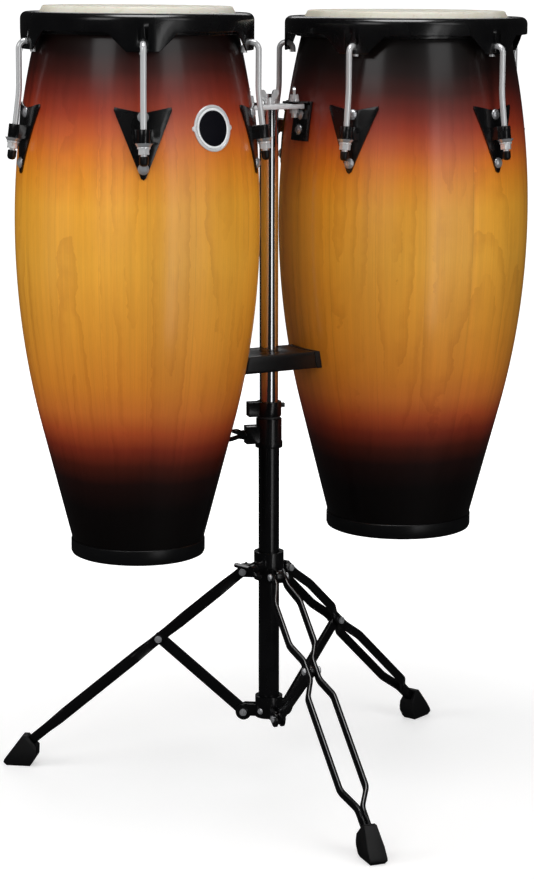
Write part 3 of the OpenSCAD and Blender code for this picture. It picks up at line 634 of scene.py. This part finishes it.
# ---------------------------------------------------------------- legs
def make_leg(i):
    half = (LEG_PIVOT_Z - BRACE_PIVOT_Z) / 2
    link = math.hypot(MEET_R - PIVOT_R, half)
    drop = math.atan2(half, MEET_R - PIVOT_R)
    wide, strip_t, strip_h = 0.0155, 0.0055, 0.013
    ear, pinch, shut = 0.0045 + 0.0006, 0.003 + 0.0006, 0.0004
    stops = [(-0.008, ear), (0.016, ear), (0.044, wide), (link - 0.042, wide), (link - 0.016, pinch),
             (link + 0.016, pinch), (link + 0.042, wide), (LEG_LEN - 0.066, wide), (LEG_LEN - 0.038, shut),
             (LEG_LEN, shut)]
    paths = []
    for s in (-1, 1):
        paths.append(rounded([(x, s * (y + strip_t / 2), 0) for x, y in stops], 0.022, 6))
    section = rounded_box_section(strip_t, strip_h, 0.0021)
    matrix = (Matrix.Translation(STAND) @ Matrix.Rotation(math.radians(LEG_TURN + 120 * (i - 1)), 4, "Z")
              @ Matrix.Translation((PIVOT_R, 0, LEG_PIVOT_Z)) @ Matrix.Rotation(drop, 4, "Y"))
    obj = sweep(f"leg_{i}_strips", paths, section, Vector((0, 0, 1)), STRUT, matrix)
    recalc(obj)
    return stand_for(obj, f"leg_{i}")


for i in (1, 2, 3):
    make_leg(i)

# ---------------------------------------------------------------- looks of the CAD nodes
LOOKS = {
    "rim": (BLACK, 1.2), "lug_plates": (BLACK, 0.5), "bracket": (BLACK, 0.6), "bottom_ring": (PLASTIC, 0.5),
    "flesh_hoop": (BLACK, 0.8), "rod_caps": (PLASTIC, 0.8), "fasteners": (ZINC, 0.4), "wing_bolt": (CHROME, 0.7),
    "nut": (CHROME, 0.5), "upper_tube": (MIRROR, 0.4), "crossbar": (BRIGHT, 0.8), "crossbar_wing_nut": (CHROME, 0.7),
    "memory_lock": (BLACK, 1.0), "cradle": (PLASTIC, 1.6), "cradle_pads": (RUBBER, 0.5), "base_tube": (BLACK, 0.3),
    "tube_bush": (NYLON, 0.4), "height_clamp": (BLACK, 1.2), "height_wing_bolt": (BLACK, 0.7),
    "lower_collar": (BLACK, 0.8), "base_fasteners": (ZINC, 0.5), "leg_collar": (BLACK, 1.0),
    "leg_collar_pins": (ZINC, 0.5), "leg_collar_wing_bolt": (BLACK, 0.7), "foot": (RUBBER, 2.0),
    "brace": (STRUT, 1.3), "brace_pin": (ZINC, 0.5),
}


def look_of(node):
    name = node
    for prefix in ("small_", "large_"):
        name = name.removeprefix(prefix)
    while name and name[-1] in "0123456789_":
        name = name[:-1]
    return LOOKS[name]


for node, obj in nodes.items():
    if obj.hide_render or node in ("small_shell", "large_shell", "badge") or node.endswith(("_head", "_hook_rods")):
        continue
    if node.startswith("leg_") and node[-1].isdigit():
        continue
    material, width = look_of(node)
    obj.data.materials.clear()
    obj.data.materials.append(material)
    obj.data.polygons.foreach_set("use_smooth", [True] * len(obj.data.polygons))
    weld = obj.modifiers.new("weld", "WELD")
    weld.merge_threshold = 0.00001
    bevel = obj.modifiers.new("bevel", "BEVEL")
    bevel.width = width * MM
    bevel.segments = 3
    bevel.limit_method = "ANGLE"
    bevel.angle_limit = math.radians(32)
    bevel.harden_normals = True

# ---------------------------------------------------------------- camera, floor and light
scene = bpy.context.scene
AZ, PITCH, FOCAL_PX, LONG_PX = math.radians(30), math.radians(10.93), 2471.0, 879.0
camera = bpy.data.objects.new("camera", bpy.data.cameras.new("camera"))
camera.data.sensor_width = 36
camera.data.lens = FOCAL_PX / LONG_PX * 36
camera.data.clip_end = 400
camera.location = STAND + Vector((-1.6577, -2.8661, 1.119))
camera.rotation_euler = (math.pi / 2 - PITCH, 0, -AZ)
scene.collection.objects.link(camera)
scene.camera = camera
scene.view_settings.view_transform = "Standard"

floor = bpy.data.meshes.new("floor")
floor.from_pydata([(-150, -150, 0), (150, -150, 0), (150, 150, 0), (-150, 150, 0)], [], [[0, 1, 2, 3]])
floor = bpy.data.objects.new("floor", floor)
scene.collection.objects.link(floor)
ground = Net("floor")
ground.surface(base=(0.74, 0.74, 0.74), rough=1.0, spec=0.0)
ground.bsdf.inputs["Emission Color"].default_value = (1, 1, 1, 1)
gx, gy, _ = ground.split(ground.coords())
away = ground.math("SQRT", ground.math("ADD", ground.math("MULTIPLY", gx, gx), ground.math("MULTIPLY", gy, gy)))
ground.put(ground.bsdf.inputs["Emission Strength"], ground.remap(away, 0.4, 1.5, 0.46, 1.0))
floor.data.materials.append(ground.mat)
floor.visible_glossy = False
floor.visible_diffuse = False


def plain_world(seen, glossy, fill):
    """A white surround: how bright it looks, how bright it is in reflections, and how much it fills the shade."""
    world = bpy.data.worlds.new("studio")
    scene.world = world
    world.use_nodes = True
    tree = world.node_tree
    tree.nodes.clear()
    path = tree.nodes.new("ShaderNodeLightPath")
    shades = []
    for strength in (fill, glossy, seen):
        shade = tree.nodes.new("ShaderNodeBackground")
        shade.inputs[0].default_value = (1, 1, 1, 1)
        shade.inputs[1].default_value = strength
        shades.append(shade.outputs[0])
    mixed = shades[0]
    for ray, shade in (("Is Glossy Ray", shades[1]), ("Is Camera Ray", shades[2])):
        mix = tree.nodes.new("ShaderNodeMixShader")
        tree.links.new(path.outputs[ray], mix.inputs[0])
        tree.links.new(mixed, mix.inputs[1])
        tree.links.new(shade, mix.inputs[2])
        mixed = mix.outputs[0]
    tree.links.new(mixed, tree.nodes.new("ShaderNodeOutputWorld").inputs[0])


def around(azimuth, height, distance, aim):
    """Place and turn for something at an angle round the stand from the camera's side, facing the stand."""
    a = AZ + math.radians(azimuth)
    place = Vector((STAND.x - distance * math.sin(a), STAND.y - distance * math.cos(a), height))
    return place, (place - Vector((STAND.x, STAND.y, aim))).to_track_quat("Z", "Y").to_euler()


def softbox(name, azimuth, height, distance, width, tall, watts, aim=0.55):
    """A large lamp that lights the object but isn't seen in its gloss."""
    light = bpy.data.lights.new(name, "AREA")
    light.shape = "RECTANGLE"
    light.size, light.size_y = width, tall
    light.energy = watts
    obj = bpy.data.objects.new(name, light)
    obj.location, obj.rotation_euler = around(azimuth, height, distance, aim)
    obj.visible_glossy = False
    scene.collection.objects.link(obj)


def card(name, azimuth, height, distance, width, tall, strength, aim=0.55, soft=0.35):
    """A glowing panel with soft edges, seen only in the object's gloss."""
    mesh = bpy.data.meshes.new(name)
    mesh.from_pydata([(x * width / 2, y * tall / 2, 0) for x, y in ((-1, -1), (1, -1), (1, 1), (-1, 1))], [],
                     [[0, 1, 2, 3]])
    obj = bpy.data.objects.new(name, mesh)
    obj.location, obj.rotation_euler = around(azimuth, height, distance, aim)
    n = Net(name)
    x, y, _ = n.split(n.coords())
    glow = strength
    for v, size in ((x, width), (y, tall)):
        off = n.math("ABSOLUTE", n.math("DIVIDE", v, size / 2))
        glow = n.math("MULTIPLY", n.remap(off, 1 - soft, 1.0, 1.0, 0.0), glow)
    n.surface(base=(0, 0, 0), rough=1.0, spec=0.0)
    n.bsdf.inputs["Emission Color"].default_value = (1, 1, 1, 1)
    n.put(n.bsdf.inputs["Emission Strength"], glow)
    mesh.materials.append(n.mat)
    for flag in ("visible_camera", "visible_diffuse", "visible_transmission", "visible_shadow"):
        setattr(obj, flag, False)
    scene.collection.objects.link(obj)


plain_world(seen=1.0, glossy=0.012, fill=0.16)
softbox("left", 74, 1.1, 3.2, 2.0, 2.2, 46)
softbox("right", -50, 1.1, 3.2, 2.0, 2.2, 50)
softbox("front", 22, 1.3, 3.4, 2.0, 1.8, 44)
softbox("back", 180, 2.2, 3.2, 2.4, 2.0, 26)
softbox("top", 0, 3.4, 0.4, 2.4, 2.4, 30, 0.0)
card("left_card", 36, 2.65, 3.2, 1.7, 1.8, 1.6, 0.95)
card("right_card", -38, 2.65, 3.2, 1.7, 1.8, 1.3, 0.95)
card("top_card", 0, 3.4, 0.5, 1.8, 1.8, 7.0, 0.0)
card("strip_card", -30, 0.5, 3.1, 0.5, 2.2, 1.6, 0.5, 0.1)
card("wide_strip_card", -34, 0.5, 3.3, 1.3, 2.2, 0.5, 0.5, 0.1)
card("back_card", 180, 2.6, 3.2, 2.4, 1.6, 1.4, 0.95)
